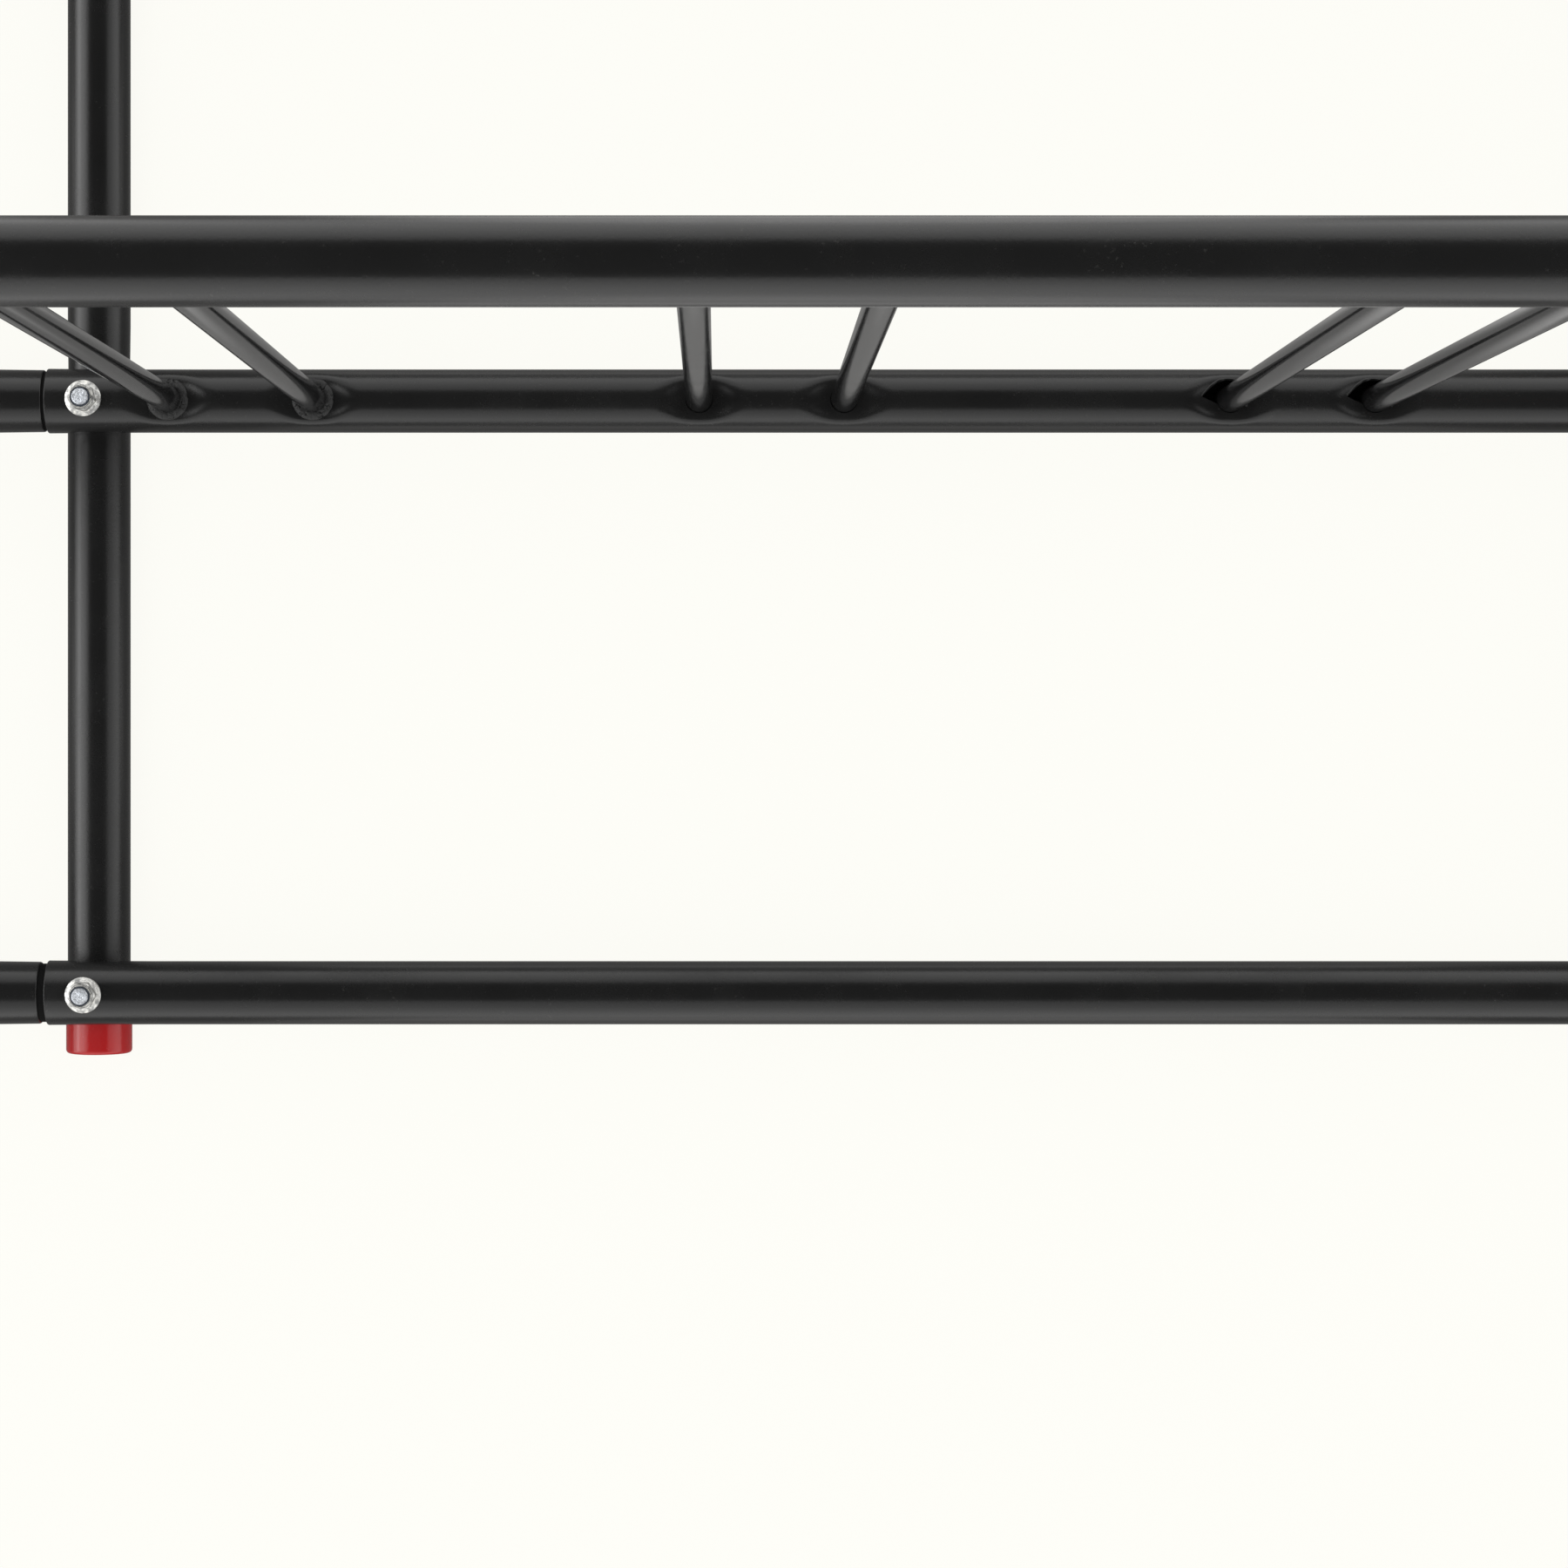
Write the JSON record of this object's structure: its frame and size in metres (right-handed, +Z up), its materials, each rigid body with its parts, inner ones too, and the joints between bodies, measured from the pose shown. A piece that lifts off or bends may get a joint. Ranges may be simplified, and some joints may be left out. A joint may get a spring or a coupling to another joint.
{
  "type": "bike rack",
  "caption": "Free-standing double-sided floor rack for bicycles: low tubes on foot rails, paired upright rods under a top rail, bolted splices and push-on end caps.",
  "frame": {"origin": "on the floor under the centre of the rack, midway between the outer feet", "axes": "+X along the rack, towards the right in the picture; +Y towards the rear, up in the picture; +Z up"},
  "size_m": [1.9912, 0.793, 0.778],
  "materials": {
    "tube_coat": "satin black powder coat on steel tube",
    "rod_coat": "semi-gloss black powder coat on steel rod",
    "cap_vinyl": "soft red vinyl with a satin skin",
    "bolt_zinc": "zinc plated steel",
    "nut_zinc": "zinc plated steel"
  },
  "bodies": {
    "root": {"foot_left_front": "tube_coat", "foot_left_rear": "tube_coat", "foot_middle_front": "tube_coat", "foot_middle_rear": "tube_coat", "foot_right_front": "tube_coat", "foot_right_rear": "tube_coat", "cross_tube_front_left": "tube_coat", "cross_tube_rear_left": "tube_coat", "grid_tube_left": "tube_coat", "top_rail_left": "tube_coat", "cross_tube_front_right": "tube_coat", "cross_tube_rear_right": "tube_coat", "grid_tube_right": "tube_coat", "top_rail_right": "tube_coat", "rod_01": "rod_coat", "rod_02": "rod_coat", "rod_03": "rod_coat", "rod_04": "rod_coat", "rod_05": "rod_coat", "rod_06": "rod_coat", "rod_07": "rod_coat", "rod_08": "rod_coat", "rod_09": "rod_coat", "rod_10": "rod_coat", "rod_11": "rod_coat", "rod_12": "rod_coat", "foot_cap_left_front": "cap_vinyl", "foot_cap_left_rear": "cap_vinyl", "foot_cap_middle_front": "cap_vinyl", "foot_cap_middle_rear": "cap_vinyl", "foot_cap_right_front": "cap_vinyl", "foot_cap_right_rear": "cap_vinyl", "end_cap_front_left": "cap_vinyl", "end_cap_grid_left": "cap_vinyl", "end_cap_rear_left": "cap_vinyl", "end_cap_top_left": "cap_vinyl", "end_cap_front_right": "cap_vinyl", "end_cap_grid_right": "cap_vinyl", "end_cap_rear_right": "cap_vinyl", "end_cap_top_right": "cap_vinyl", "bolt_front_left": "bolt_zinc", "nut_front_left": "nut_zinc", "bolt_grid_left": "bolt_zinc", "nut_grid_left": "nut_zinc", "bolt_rear_left": "bolt_zinc", "nut_rear_left": "nut_zinc", "bolt_front_middle": "bolt_zinc", "nut_front_middle": "nut_zinc", "bolt_grid_middle": "bolt_zinc", "nut_grid_middle": "nut_zinc", "bolt_rear_middle": "bolt_zinc", "nut_rear_middle": "nut_zinc", "bolt_front_right": "bolt_zinc", "nut_front_right": "nut_zinc", "bolt_grid_right": "bolt_zinc", "nut_grid_right": "nut_zinc", "bolt_rear_right": "bolt_zinc", "nut_rear_right": "nut_zinc", "bolt_top": "bolt_zinc", "nut_top": "nut_zinc"}
  },
  "joints": []
}
